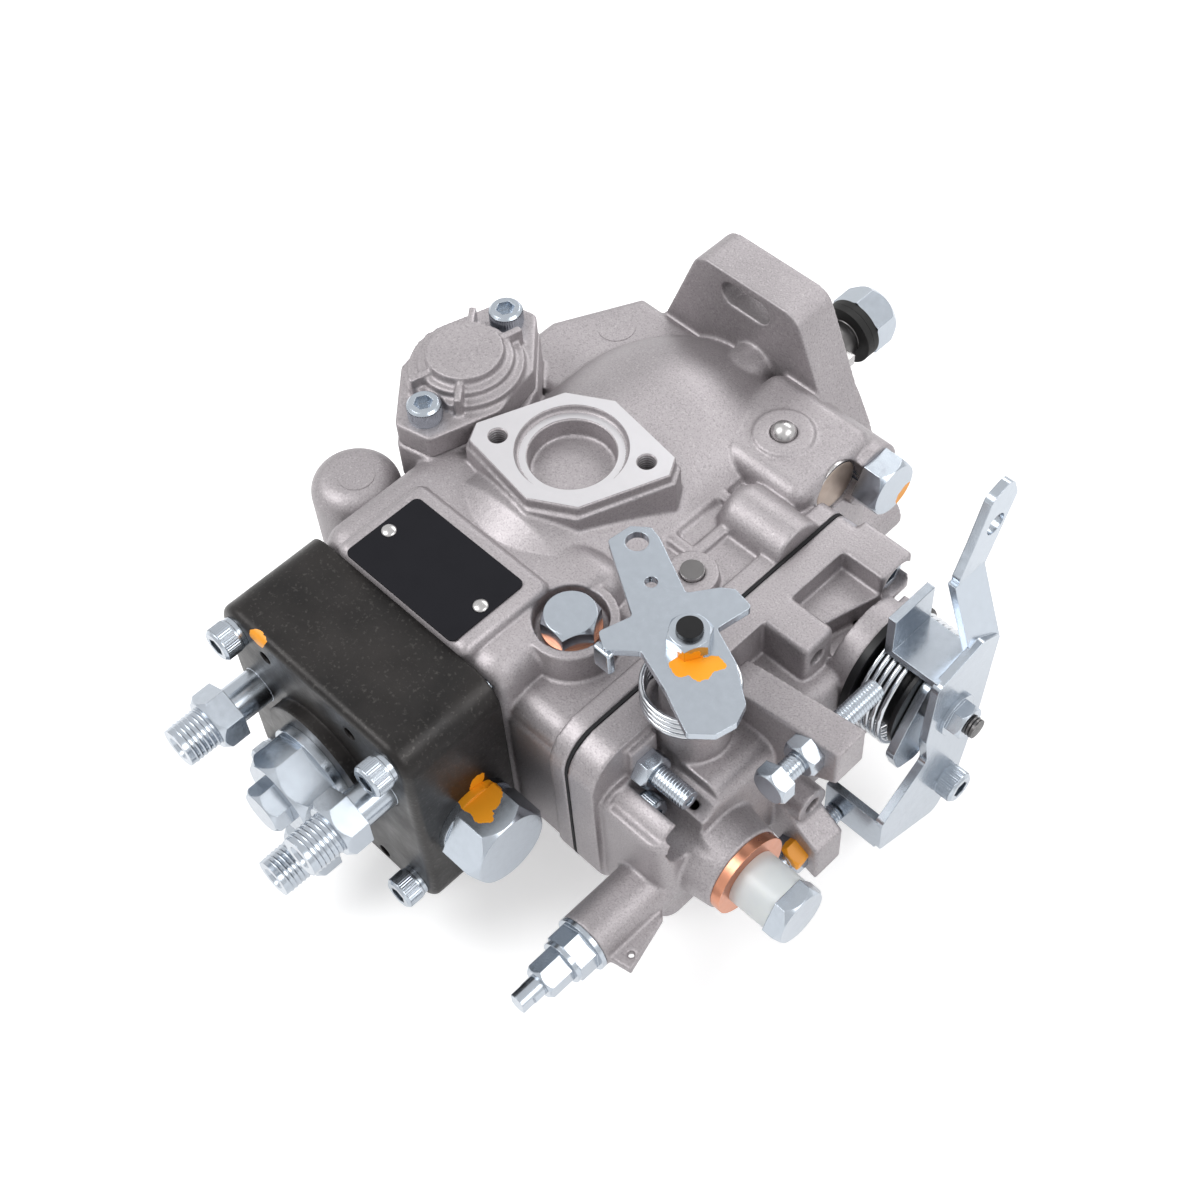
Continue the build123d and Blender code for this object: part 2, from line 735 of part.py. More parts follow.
def full_load_nut():
    """Hexagon nut between two round collars."""
    first = load_boss_end - load_collar_t
    body = rod("y", (load_x, load_z), load_boss_end, first, load_boss_r)
    body += hexbar("y", (load_x, load_z), first, first - load_nut_t, 13.0)
    body += rod("y", (load_x, load_z), first - load_nut_t, first - load_nut_t - load_collar_t, 6.8)
    return body - rod("y", (load_x, load_z), load_boss_end + 1, load_tip, load_r)


def drive_shaft():
    """Shaft with tapered nose, threaded end, journal and claw."""
    shaft = rod("y", (0, 0), claw_y, taper_start, shaft_r)
    shaft += cone("y", (0, 0), taper_start, taper_end, taper_r, taper_end_r)
    shaft += rod("y", (0, 0), taper_end, thread_end - 1, thread_r)
    shaft += cone("y", (0, 0), thread_end - 1, thread_end, thread_r, thread_r - 1)
    shaft += rod("y", (0, 0), claw_y, claw_y - 4, claw_r)
    for s in (-1, 1):
        shaft += block(s * 11.5 - 2.5, s * 11.5 + 2.5, disc_y - disc_t, claw_y, -4, 4)
    return shaft - block(key_r - 3.2, key_r + 2, key_y - 7, key_y + 7, -key_w / 2, key_w / 2)


def cross_disc():
    """Disc that couples the shaft's claw to the cam plate's."""
    disc = rod("y", (0, 0), disc_y, disc_y - disc_t, claw_r)
    for s in (-1, 1):
        disc -= block(s * 12.5 - 3.5, s * 12.5 + 3.5, disc_y - disc_t - 1, disc_y + 1, -4, 4)
        disc -= block(-4, 4, disc_y - disc_t - 1, disc_y + 1, s * 12.5 - 3.5, s * 12.5 + 3.5)
    return disc


def cam_plate():
    """Face cam with three lobes, a foot and its own two claws."""
    plate = rod("y", (0, 0), cam_y, cam_y - cam_t, cam_r)
    zone = tube("y", (0, 0), cam_y - cam_t, cam_y + 3, cam_r, 20)
    for k in range(roller_count):
        lobe = rod("x", (cam_y + 2.2 - lobe_r, 0), 18, cam_r + 1, lobe_r)
        plate += Rot(0, 60 + 120 * k, 0) * lobe & zone
    for s in (-1, 1):
        plate += block(-4, 4, cam_y, disc_y, s * 11.5 - 2.5, s * 11.5 + 2.5)
    return plate


def gear(at, r, teeth):
    """Spur gear of the governor drive, with plain straight-sided teeth."""
    wheel = rod("y", at, gear_y, gear_y + gear_t, r - tooth)
    width = 3.1416 * r / teeth
    for k in range(teeth):
        flank = [(r - tooth - 1, -width / 2), (r - 0.1, -width * 0.28), (r - 0.1, width * 0.28),
                 (r - tooth - 1, width / 2)]
        face = station("y", at, gear_y) * Rot(0, 0, k * 360 / teeth) * make_face(Polyline(*flank, close=True))
        wheel += extrude(face, amount=gear_t)
    return wheel


def governor_carrier():
    """Cage with four windows for the flyweights, with its gear in front."""
    cage = rod("y", (gov_x, gov_z), gear_y, gear_y - carrier_len, carrier_r)
    cage -= rod("y", (gov_x, gov_z), gear_y - 3, gear_y - carrier_len - 1, sleeve_r + 1.0)
    for k in range(weight_count):
        window = block(window_in, carrier_r + 1, gear_y - carrier_len - 1, gear_y - 3, -6, 6)
        cage -= Pos(gov_x, 0, gov_z) * Rot(0, 90 * k, 0) * window
    cage += gear((gov_x, gov_z), gov_gear_r, 22)
    return cage - rod("y", (gov_x, gov_z), gear_y - carrier_len - 1, gear_y + gear_t + 1, gov_shaft_r + running)


def flyweights():
    """Four flyweights, one in each window of the carrier."""
    weights = []
    for k in range(weight_count):
        weight = block(10.5, 21.5, gear_y - 17.5, gear_y - 3, -5.8, 5.8)
        weights.append(Pos(gov_x, 0, gov_z) * Rot(0, 90 * k, 0) * weight)
    return Compound(weights)


def roller_ring():
    """Ring that holds the rollers and the pin of the timing piston."""
    low = roller_ring_y - roller_ring_t
    ring = tube("y", (0, 0), low, roller_ring_y, cam_box_r - slide_fit, roller_ring_in)
    for k in range(roller_count):
        pocket = rod("x", (roller_y, 0), roller_in, roller_out, roller_r)
        pocket += block(roller_in, roller_out, low - 1, roller_y, -roller_r, roller_r)
        ring -= Rot(0, 120 * k, 0) * pocket
        ring -= Rot(0, 120 * k, 0) * rod("x", (roller_y, 0), roller_in - 3, roller_out + 2, 2.0)
    return ring + rod("x", (timing_y, 0), timing_x + 1, -cam_box_r + 2, pin_r)


def rollers():
    """Three rollers on their pins."""
    parts = []
    for k in range(roller_count):
        roller = rod("x", (roller_y, 0), roller_in + loose, roller_out - loose, roller_r - 0.1)
        parts.append(Rot(0, 120 * k, 0) * (roller + rod("x", (roller_y, 0), roller_in - 1.8, roller_out + 1.8, 2.0)))
    return Compound(parts)


def governor_lever():
    """Lever that moves the control sleeve, on the two pivot bolts."""
    lever = block(13.5, 80, -119, -116, -8, 8)
    lever += block(79, 89, -119, -116, -20, 3)
    for s in (-1, 1):
        ear_block = block(pivot_x - 6, pivot_x + 6, pivot_y - 5, -116, s * 10 - 2, s * 10 + 2)
        lever += ear_block - rod("z", (pivot_x, pivot_y), -20, 20, 3.0 + running)
    lever += rod("x", (-118.0, 0), 8.5, 14, 1.8)
    return lever + Pos(8.5, -118, 0) * Sphere(2.6)


def control_sleeve():
    """Ring on the plunger that ends the injection, with the hole of the lever's ball."""
    ring = tube("y", (0, 0), control_ring_y, control_ring_y + control_ring_t, control_ring_r,
                plunger_r + running)
    return ring - rod("x", (-118.0, 0), 5.6, 12, 2.9)


def control_shaft():
    """Shaft of the control lever, with a crank pin inside for the governor spring."""
    at = (control_y, control_z)
    shaft = rod("x", at, control_flange - 3, lever_x + lever_t, control_r)
    shaft += rod("x", at, lever_x + lever_t, control_end, control_thread_r)
    shaft += rod("x", at, control_flange - 3, control_flange, 7.0)
    return shaft + rod("x", (control_y - 5, control_z), control_inner, control_flange - 2, 1.6)


def control_bush():
    """Black bush in the cover with the spool that the lever's spring is wound on."""
    at = (control_y, control_z)
    bush = rod("x", at, control_flange, spool_x, control_r + 2)
    bush += rod("x", at, spool_x, spool_x + spool_disc_t, spool_disc_r)
    bush += rod("x", at, spool_x + spool_disc_t, spool_end, spool_drum_r)
    bush += rod("x", at, spool_end - 1.4, spool_end, spool_end_r)
    return bush - rod("x", at, control_flange - 1, spool_end + 1, control_r + running)


def driver_plate():
    """Plate under the control lever, with a round lobe at each end."""
    low = spool_end + loose
    outline = [(-66.5, 20), (-58, 24), (-50, 20), (-46.5, 8), (-52, -4), (-68, -12), (-76, -9), (-79, 0), (-74, 9)]
    plate = prism(station("x", (0, 0), low), outline, driver_t)
    plate = fillet(plate.edges().filter_by(Axis.X), 4)
    return plate - rod("x", (control_y, control_z), low - 1, low + driver_t + 1, control_r)


def control_lever():
    """Plate lever with a joggled arm, a stop tab for each screw and a clamp eye."""
    x0, x1 = lever_x, lever_x + lever_t
    outline = [(-70, -6), (-88, -20), (-88, -34), (-62, -44), (-53, -34), (-47, -2), (-44, 30),
               (-52, 34), (-70, 30), (-72, 6)]
    plate = prism(station("x", (0, 0), x0), outline, lever_t)
    plate = fillet(plate.edges().filter_by(Axis.X), 3)
    # joggle and tip
    slope = prism(station("y", (0, 0), -56), [(28, x0), (28, x1), (54, x1 - 9), (54, x0 - 9)], 12)
    tip = prism(station("x", (0, 0), x0 - 9), [(-56, 52), (-44, 52), (-34, 74), (-37, 82), (-45, 80), (-50, 66)],
                lever_t)
    tip = fillet(tip.edges().filter_by(Axis.X), 3)
    tip -= rod("x", (-42.0, 68.0), x0 - 11, x1, 3.4)
    lever = plate + slope + tip
    # tabs that meet the idle and the maximum screw
    lever += block(101, x0 + 1, -69, -53, 28, 30.6)
    lever += block(101, 103.6, -69, -53, 28, 44)
    lever += block(100, x0 + 1, -88, -85.4, -34, -20)
    lever -= rod("x", (-59.0, -28.0), x0 - 1, x1 + 1, m6_r)
    lever -= rod("x", (control_y, control_z), x0 - 1, x1 + 1, control_r)
    return Compound([lever, driver_plate()])


def stop_lever():
    """Stop lever plate with two holes, two bent tabs and a tail."""
    outline = [(36.5, -108.5), (37.5, -101), (42, -97.5), (46, -98.5), (63.5, -106.8), (68.8, -99.5), (72, -97.2),
               (79, -98.4), (77, -109.5), (87.5, -113.8), (98, -121.4), (100, -127), (98.5, -133),
               (93, -137.8), (80, -132), (67.8, -127.9), (60.5, -134), (55.5, -131), (58.5, -121.5)]
    plate = prism(Plane.XY.offset(stop_plate_z), outline, stop_plate_t)
    plate = fillet(plate.edges().filter_by(Axis.Z), 1.2)
    plate -= rod("z", (42.5, -103.5), 50, 60, 3.2)
    plate -= rod("z", (54.5, -110.5), 50, 60, 1.8)
    plate += block(56.5, 62.5, -134.4, -132.0, 48, stop_plate_z + 1, 0.8)
    return plate - rod("z", (stop_x, stop_y), 50, 60, stop_shaft_r - 1)


def sealing_plugs():
    """Pressed parts of the housing: dished core plug, steel ball and dowel."""
    disc = rod("x", core_plug_at, core_plug_x, core_plug_x + core_plug_t, core_plug_r)
    disc -= Pos(core_plug_x + 19.5, *core_plug_at) * Sphere(19.0)
    ball = Pos(33.8, -35.0, 36.2) * Sphere(4.0) & rod("z", (33.8, -35.0), 33.4, 41, 4.0)
    return Compound([disc, ball, rod("z", (pin_x, pin_y), 20, 33.2, dowel_r)])


def copper_washers():
    """Copper sealing rings under the pivot bolts and the return union."""
    rings = [tube("z", (pivot_x, pivot_y), pivot_seat_z, pivot_seat_z + copper_t, 8.6, 4.1)]
    rings.append(tube("z", (pivot_x, pivot_y), pivot_low - copper_t, pivot_low, 8.6, 4.1))
    for k in range(2):
        start = return_base + k * copper_t
        rings.append(tube("x", (return_y, return_z), start, start + copper_t - 0.01, return_r - 0.6, 5.2))
    return Compound(rings)


def pivot_bolts():
    """Two bolts whose ends carry the governor lever."""
    bolts = []
    for seat, way, end in ((pivot_seat_z + copper_t, 1, 7.0), (pivot_low - copper_t, -1, -7.0)):
        bolt = hex_head("z", (pivot_x, pivot_y), seat, seat + way * 6.0, 15.0)
        bolt += rod("z", (pivot_x, pivot_y), seat, way * 22.0, 4.0)
        bolts.append(bolt + rod("z", (pivot_x, pivot_y), seat, end, 3.0))
    return Compound(bolts)


def nameplate():
    """Thin bare plate on the tail and its two domed rivets."""
    plate = block(plate_x - plate_len / 2, plate_x + plate_len / 2, plate_y - plate_w / 2, plate_y + plate_w / 2,
                  plate_z, plate_z + plate_thick)
    pieces = [fillet(plate.edges().filter_by(Axis.Z), 2.0)]
    top = plate_z + plate_thick
    for s in (-1, 1):
        pieces.append(cone("z", (plate_x + s * (plate_len / 2 - 3.4), plate_y), top, top + 0.7, 2.1, 1.2))
    return Compound(pieces)


nodes = {
    "pump_housing": pump_housing(),
    "shaft_bush": tube("y", (0, 0), bush_end - 1, -seal_len - 1, bush_r, shaft_r + running),
    "shaft_seal": tube("y", (0, 0), -seal_len - 1, -1, seal_r, shaft_r + loose),
    "supply_pump_ring": rod("y", (0, 0), pump_y1 - pump_len, pump_y1, pump_r)
    - rod("y", (0, ring_offset), pump_y1 - pump_len - 1, pump_y1 + 1, ring_bore_r),
    "supply_pump_plate": tube("y", (0, 0), pump_y1 - pump_len - plate_t, pump_y1 - pump_len, pump_r,
                              shaft_r + loose),
    "governor_shaft": rod("y", (gov_x, gov_z), gear_y + gear_t + 14, gov_shaft_end, gov_shaft_r),
    "timing_covers": Compound([timing_cover(1), timing_cover(-1)]),
    "timing_screws": Compound([
        cap_screw("z", place, side * (timing_face + timing_cover_t), side * (timing_face + timing_cover_t + m6_head_h),
                  side * (timing_face - 11))
        for place in timing_screw_places() for side in (1, -1)]),
    "timing_spring": coil("z", (timing_x, timing_y), -piston_len / 2 - 0.2, -timing_face - 8.6, 8.0, 1.3, 4),
    "distributor_head": distributor_head(),
    "distributor_barrel": tube("y", (0, 0), head_front + 6, spigot_end + 1, barrel_in_r, plunger_r + running),
    "head_screws": head_screws(),
    "delivery_holders": Compound([outlet_holder(degrees) for degrees in outlet_angles]),
    "central_plug": rod("y", (0, 0), head_front + 6, head_front - ring_boss_t, 13.0)
    + rod("y", (0, 0), head_front - ring_boss_t, head_front - 7, 15.0)
    + hex_head("y", (0, 0), head_front - 7, plug_out, plug_hex)
    - rod("y", (0, 0), plug_out - 1, plug_out + 12, 4.0),
    "bleed_bolt": hex_head("y", (0, 0), plug_out, bleed_out, bleed_hex) + rod("y", (0, 0), plug_out, plug_out + 10, 4.0),
    "shutoff_plug": rod("x", (shut_y, shut_z), head_w - 15, head_w, 9.0)
    + rod("x", (shut_y, shut_z), head_w, head_w + 2.4, 12.8)
    + hex_head("x", (shut_y, shut_z), head_w + 2.4, shut_out, shut_hex),
    "copper_washers": copper_washers(),
    "governor_cover": cover_bores(governor_cover()),
    "cover_screws": Compound([cap_screw("x", place, screw_seat, screw_seat + m6_head_h, part_x - cover_thread) for place in cover_screw_places()]),
    "cover_stud": rod("x", (stud_y, stud_z), part_x + gasket_t, stud_end, m6_r)
    - hexbar("x", (stud_y, stud_z), stud_end - 3, stud_end + 1, 3.0),
    "full_load_screw": full_load_screw(),
    "full_load_nut": full_load_nut(),
    "return_union": tube("x", (return_y, return_z), return_base + 2 * copper_t, union_end, union_r, 5.0),
    "return_bolt": hex_head("x", (return_y, return_z), union_end, union_end + 5.5, union_hex)
    + rod("x", (return_y, return_z), 93, union_end, 5.0),
    "stop_screws": Compound([adjusting_screw(idle_x, idle_z, -79, -117, m6_nut_af),
                             adjusting_screw(max_x, max_z, -88.4, -117, m6_nut_af)]),
    "lock_nuts": lock_nuts(),
    "pivot_bolts": pivot_bolts(),
    "pressure_valve": rod("x", (-20.0, 22.0), 36, 56, 4.3) + hex_head("x", (-20.0, 22.0), 56, 64, 17.0),
    "sealing_plugs": sealing_plugs(),
    "nameplate": nameplate(),
    "plunger_springs": Compound([
        coil("y", (0, s * plunger_spring_z), spigot_end + 0.02, cam_y - cam_t - 6, 4.6, 0.9, 5) for s in (-1, 1)]),
    "control_bush": control_bush(),
    "cover_gasket": cover_gasket(),
    "drive_shaft": drive_shaft(),
    "shaft_key": block(key_r - 3.2, key_r + 1.4, key_y - 7, key_y + 7, -key_w / 2, key_w / 2),
    "shaft_washers": Compound([
        tube("y", (0, 0), nut_y - (k + 1) * spring_washer_t, nut_y - k * spring_washer_t - 0.1, spring_washer_r,
             thread_r) for k in range(2)]),
    "shaft_nut": nut("y", (0, 0), nut_y, nut_y + nut_h, nut_af, thread_r),
    "supply_pump_rotor": tube("y", (0, 0), pump_y1 - pump_len + 0.05, pump_y1 - 0.05, rotor_r, shaft_r),
    "drive_gear": gear((0, 0), drive_gear_r, 36) - rod("y", (0, 0), gear_y - 1, gear_y + gear_t + 1, shaft_r),
    "cross_disc": cross_disc(),
    "cam_plate": cam_plate(),
    "plunger": rod("y", (0, 0), cam_y - cam_t - 3, plunger_end, plunger_r)
    + rod("y", (0, 0), cam_y - cam_t, cam_y - cam_t - 3, foot_r),
    "governor_carrier": governor_carrier(),
    "flyweights": flyweights(),
    "governor_sleeve": tube("y", (gov_x, gov_z), gear_y - carrier_len + 2, sleeve_end, sleeve_r, gov_shaft_r + running),
    "governor_lever": governor_lever(),
    "governor_spring": coil("y", (80.5, 5.0), -115.9, -70, 4.6, 0.9, 6),
    "roller_ring": roller_ring(),
    "rollers": rollers(),
    "timing_piston": rod("z", (timing_x, timing_y), -piston_len / 2, piston_len / 2, timing_r)
    - cone("x", (timing_y, 0), timing_x - 2, timing_x + timing_r + 1, pin_r + 0.5, pin_r + 2.3),
    "control_sleeve": control_sleeve(),
    "control_shaft": control_shaft(),
    "control_lever": control_lever(),
    "control_lever_nut": nut("x", (control_y, control_z), lever_x + lever_t + 1.2, 126.0, m6_nut_af, control_thread_r)
    + tube("x", (control_y, control_z), lever_x + lever_t, lever_x + lever_t + 1.2, 6.8, control_thread_r),
    "lever_screw": cap_screw("x", (-59.0, -28.0), lever_x + lever_t, lever_x + lever_t + m6_head_h, 112),
    "control_spring": coil("x", (control_y, control_z), spool_x + spool_disc_t + coil_gap, spool_end - 1.4 - coil_gap,
                           coil_r, coil_wire, 5),
    "stop_shaft": rod("z", (stop_x, stop_y), 10, stop_plate_z, stop_shaft_r)
    + rod("z", (stop_x, stop_y), stop_plate_z, 64.5, stop_shaft_r - 1),
    "stop_lever": stop_lever(),
    "stop_nut": nut("z", (stop_x, stop_y), stop_plate_z + stop_plate_t, 63.0, 11.0, stop_shaft_r - 1),
    "stop_spring": coil("z", (stop_x, stop_y), box_top + 0.3, 41, stop_coil_r, 1.0, 4),
}

os.makedirs("parts", exist_ok=True)
for name, shape in nodes.items():
    export_step(shape, f"parts/{name}.step")
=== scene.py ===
"""Looks of a rotary diesel injection pump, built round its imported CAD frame. Lengths in metres."""
import json
import math

import bpy
from mathutils import Matrix, Vector


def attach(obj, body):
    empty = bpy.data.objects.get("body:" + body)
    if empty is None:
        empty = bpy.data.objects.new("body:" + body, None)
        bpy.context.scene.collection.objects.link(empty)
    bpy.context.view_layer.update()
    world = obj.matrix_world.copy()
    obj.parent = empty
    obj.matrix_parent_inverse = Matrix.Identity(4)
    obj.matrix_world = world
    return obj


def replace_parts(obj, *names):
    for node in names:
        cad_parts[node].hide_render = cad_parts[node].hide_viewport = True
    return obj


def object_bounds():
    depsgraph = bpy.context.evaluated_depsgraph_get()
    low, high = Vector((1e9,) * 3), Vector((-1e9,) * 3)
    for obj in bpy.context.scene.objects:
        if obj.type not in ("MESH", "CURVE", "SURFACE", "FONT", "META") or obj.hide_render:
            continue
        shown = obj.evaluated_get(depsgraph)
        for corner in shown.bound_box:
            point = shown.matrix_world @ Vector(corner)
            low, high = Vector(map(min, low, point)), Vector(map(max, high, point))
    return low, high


MM = 0.001
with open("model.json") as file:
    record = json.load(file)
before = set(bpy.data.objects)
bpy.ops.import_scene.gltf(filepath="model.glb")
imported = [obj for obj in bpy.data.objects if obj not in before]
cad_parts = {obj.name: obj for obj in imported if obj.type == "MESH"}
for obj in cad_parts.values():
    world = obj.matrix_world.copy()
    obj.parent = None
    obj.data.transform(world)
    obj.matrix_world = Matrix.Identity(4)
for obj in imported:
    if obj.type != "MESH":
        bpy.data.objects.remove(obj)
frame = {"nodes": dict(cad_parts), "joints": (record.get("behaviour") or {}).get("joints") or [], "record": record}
cad_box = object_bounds()
nodes = frame["nodes"]
mounts = {mount["name"]: mount for mount in frame["record"]["mounts"]}
joints = {joint["name"]: joint for joint in frame["joints"]}
scene = bpy.context.scene

# Camera: place and angles fitted to the photograph
CAMERA_AT = Vector((0.2666, -0.3130, 0.4566))
AZIMUTH = math.radians(49.0)
ELEVATION = math.radians(54.1)
ROLL = math.radians(-4.8)
LENS = 57.0
SENSOR_WIDTH = 36.0
NEAR_CLIP = 0.02

# Light and floor
LAMP_AIM = (0.02, -0.08, 0.02)
WORLD_LIGHT = 0.42
FLOOR_HALF = 3.0
FLOOR_GAP = 0.0005
FLOOR_LIFT = 0.45

# Octagonal pad, from the two tapped holes in it; its outline in millimetres, as in the CAD
PAD_HOLES = [Vector(mounts[name]["pos_m"]) for name in ("pad_hole_1", "pad_hole_2")]
PAD_LINE = PAD_HOLES[1] - PAD_HOLES[0]
PAD = (PAD_HOLES[0] + PAD_HOLES[1]) / 2
PAD.z = mounts["carrier_pad"]["pos_m"][2]
PAD_TURN = math.atan2(PAD_LINE.y, PAD_LINE.x)
PAD_HOLE_GAP = PAD_LINE.length / MM
PAD_HALF_LEN, PAD_HALF_W = 29.6, 20.4
PAD_END_HALF, PAD_SIDE_HALF = 3.2, 7.5
PAD_RING_R, PAD_WELL_R, PAD_RING_DEEP = 16.2, 12.7, 2.2
PAD_HOLE_R = 3.0
PAD_TRIM = 0.5
FILM, FILM_LIFT = 0.06, 0.03

# Threads, knurls and wires, in millimetres
THREAD_SIDES, THREAD_STEPS = 36, 10
THREAD_SINK = 0.12
M6_R, M6_PITCH = 3.0, 1.0
M12_R, M12_PITCH = 6.0, 1.5
OUTLET_R = mounts["outlet_1"]["dims"]["r_mm"]
TAPPED_R, TAPPED_DEEP = 2.75, 11.0
SCREW_HEAD_H = 6.0
KNURL_RIDGES = 44
CONTROL_LINE = [c / MM for c in joints["control_lever_turn"]["pos_m"][1:]]
CONTROL_WIRE, CONTROL_TURNS = 0.8, 5.0
STOP_WIRE, STOP_TURNS = 0.9, 4.0
RIVET_R = 2.3
PLUG_DOME_H = 0.5

# Round marks of the mould's pins: x, y, z and radius in millimetres
PIN_MARKS = ((-39.2, -30.9, 26.0, 6.0), (-49.2, -128.4, 32.0, 5.5))
PIN_MARK_T = 0.3

# Soft edges of the castings
CAST_VOXEL = 0.55
CAST_PASSES = 3

# Orange marking paint: x, y, z and radius of each dab in millimetres
PAINT_ORANGE = (0.93, 0.36, 0.01)
PAINT_RAGGED = 5.0
PAINT_ROUGH = (0.4, 0.4, 0.4)
HEAD_PAINT = ((-21.0, -188.0, 38.0, 3.4), (35.0, -166.0, 6.0, 5.0))
STOP_PAINT = ((78.5, -124.0, 59.0, 3.4), (82.5, -121.5, 59.0, 3.8), (84.0, -118.0, 59.5, 2.8))
PLUG_PAINT = ((42.0, -167.0, 4.0, 6.0), (47.0, -171.0, 5.0, 3.0))
NUT_PAINT = ((107.5, -108.0, -25.0, 5.5),)
VALVE_PAINT = ((62.0, -13.5, 14.5, 5.0),)

# Colours and roughness
CAST_COLOUR = (0.375, 0.35, 0.362)
CAST_GRAIN, CAST_ROUGH = 0.16, 0.50
ZINC_COLOUR, ZINC_ROUGH = (0.43, 0.47, 0.52), 0.22
BLACK, WHITE, GREY = (0, 0, 0), (1, 1, 1), (0.5, 0.5, 0.5)


# Camera


def place_camera():
    """Camera at the photograph's viewpoint."""
    back = Vector((math.sin(AZIMUTH) * math.cos(ELEVATION), -math.cos(AZIMUTH) * math.cos(ELEVATION),
                   math.sin(ELEVATION)))
    level = Vector((math.cos(AZIMUTH), math.sin(AZIMUTH), 0.0))
    above = back.cross(level)
    right = level * math.cos(ROLL) + above * math.sin(ROLL)
    up = back.cross(right)
    data = bpy.data.cameras.new("view")
    data.sensor_width = SENSOR_WIDTH
    data.lens = LENS
    data.clip_start = NEAR_CLIP
    camera = bpy.data.objects.new("view", data)
    scene.collection.objects.link(camera)
    turn = Matrix((right, up, back)).transposed().to_4x4()
    camera.matrix_world = Matrix.Translation(CAMERA_AT) @ turn
    scene.camera = camera


# Materials


class Nodes:
    """Short ways to build a node material."""

    def __init__(self, name):
        self.mat = bpy.data.materials.new(name)
        self.mat.use_nodes = True
        self.tree = self.mat.node_tree
        self.shader = self.tree.nodes["Principled BSDF"]
        self.place = self.add("ShaderNodeTexCoord").outputs["Object"]

    def add(self, kind, **inputs):
        node = self.tree.nodes.new(kind)
        for key, value in inputs.items():
            self.set(node, key.replace("_", " "), value)
        return node

    def set(self, node, key, value):
        self.feed(node.inputs[key], value)

    def feed(self, socket, value):
        """Links an output to a socket, or sets the socket's number or colour."""
        if isinstance(value, bpy.types.NodeSocket):
            self.tree.links.new(value, socket)
        elif socket.type == "RGBA":
            socket.default_value = (*value, 1.0)
        else:
            socket.default_value = value

    def noise(self, scale, detail=3.0, rough=0.55):
        node = self.add("ShaderNodeTexNoise", Vector=self.place, Scale=scale, Detail=detail, Roughness=rough)
        return node.outputs["Fac"]

    def ramp(self, value, stops):
        node = self.add("ShaderNodeValToRGB", Fac=value)
        points = node.color_ramp.elements
        while len(points) < len(stops):
            points.new(0.5)
        for point, (at, colour) in zip(points, stops):
            point.position = at
            point.color = (*colour, 1.0)
        return node.outputs["Color"]

    def math(self, kind, a, b=0.0):
        node = self.tree.nodes.new("ShaderNodeMath")
        node.operation = kind
        for socket, value in zip(node.inputs, (a, b)):
            self.feed(socket, value)
        return node.outputs[0]

    def mix(self, fac, a, b):
        node = self.tree.nodes.new("ShaderNodeMix")
        node.data_type = "RGBA"
        for i, value in zip((0, 6, 7), (fac, a, b)):
            self.feed(node.inputs[i], value)
        return node.outputs[2]

    def bump(self, height, strength, distance, edge=0.0):
        node = self.add("ShaderNodeBump", Height=height, Strength=strength, Distance=distance)
        if edge > 0:
            soft = self.add("ShaderNodeBevel", Radius=edge)
            soft.samples = 4
            self.set(node, "Normal", soft.outputs[0])
        return node.outputs[0]

    def finish(self, **inputs):
        for key, value in inputs.items():
            self.set(self.shader, key.replace("_", " "), value)
        return self.mat


def colour_pair(base, spread):
    """A darker and a lighter version of a colour."""
    return [tuple(c * (1 - spread) for c in base), tuple(min(1.0, c * (1 + spread)) for c in base)]


def painted(m, colour, metallic, roughness, paint):
    """Colour, metallic and roughness with ragged dabs of orange paint laid over them."""
    if not paint:
        return colour, metallic, roughness
    mask = None
    ragged = m.math("MULTIPLY", m.math("SUBTRACT", m.noise(190.0, 3.0), 0.5), PAINT_RAGGED * MM)
    for x, y, z, r in paint:
        far = m.add("ShaderNodeVectorMath")
        far.operation = "DISTANCE"
        m.tree.links.new(m.place, far.inputs[0])
        far.inputs[1].default_value = (x * MM, y * MM, z * MM)
        reach = m.math("ADD", far.outputs["Value"], ragged)
        inside = m.math("LESS_THAN", reach, r * MM)
        mask = inside if mask is None else m.math("MAXIMUM", mask, inside)
    colour = m.mix(mask, colour, PAINT_ORANGE)
    metallic = m.math("MULTIPLY", m.math("SUBTRACT", 1.0, mask), metallic)
    return colour, metallic, m.mix(mask, roughness, PAINT_ROUGH)


def patchy(m, scale, detail, rough, less, more):
    """Roughness that varies with a noise between rough - less and rough + more."""
    return m.ramp(m.noise(scale, detail), [(0.3, (rough - less,) * 3), (0.7, (rough + more,) * 3)])


def cast_metal(name):
    """Fine-grained aluminium casting with faint stains."""
    m = Nodes(name)
    low, high = colour_pair(CAST_COLOUR, 0.09)
    colour = m.mix(m.ramp(m.noise(26.0, 4.0), [(0.35, BLACK), (0.68, WHITE)]), low, high)
    specks = m.ramp(m.noise(1900.0, 2.0), [(0.34, GREY), (0.50, BLACK)])
    colour = m.mix(specks, colour, tuple(c * 0.55 for c in CAST_COLOUR))
    glints = m.ramp(m.noise(1500.0, 2.0), [(0.56, BLACK), (0.74, (0.55,) * 3)])
    colour = m.mix(glints, colour, tuple(min(1.0, c * 1.45) for c in CAST_COLOUR))
    roughness = patchy(m, 60.0, 3.0, CAST_ROUGH, 0.05, 0.07)
    normal = m.bump(m.noise(1400.0, 3.0), 0.55, CAST_GRAIN * MM)
    return m.finish(Base_Color=colour, Metallic=0.7, Roughness=roughness, Normal=normal)


def machined_metal(name, base):
    """Milled face of the casting."""
    m = Nodes(name)
    low, high = colour_pair(base, 0.04)
    colour = m.mix(m.noise(300.0), low, high)
    normal = m.bump(m.noise(900.0), 0.12, 0.03 * MM)
    return m.finish(Base_Color=colour, Metallic=0.8, Roughness=0.38, Normal=normal)


